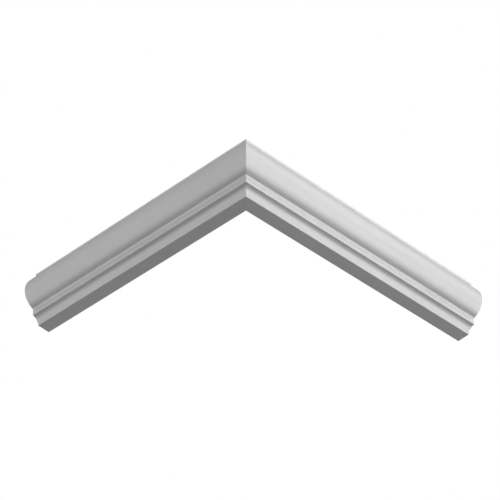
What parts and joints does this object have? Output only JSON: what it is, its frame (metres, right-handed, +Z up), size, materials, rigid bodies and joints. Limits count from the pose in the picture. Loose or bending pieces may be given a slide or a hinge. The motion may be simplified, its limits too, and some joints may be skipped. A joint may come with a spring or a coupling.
{
  "type": "panel moulding corner",
  "caption": "White panel moulding with a torus, fillets and a cove, in mitred lengths that wrap an outside wall corner as trim.",
  "frame": {"origin": "the wall's outside corner, at the back edge of the moulding's underside", "axes": "+X along the right length's wall face, +Y along the left length's wall face, +Z up the wall"},
  "size_m": [0.315, 0.294, 0.057],
  "materials": {
    "white_primer": "satin"
  },
  "bodies": {
    "root": {"right_length": "white_primer", "left_length": "white_primer"}
  },
  "joints": []
}
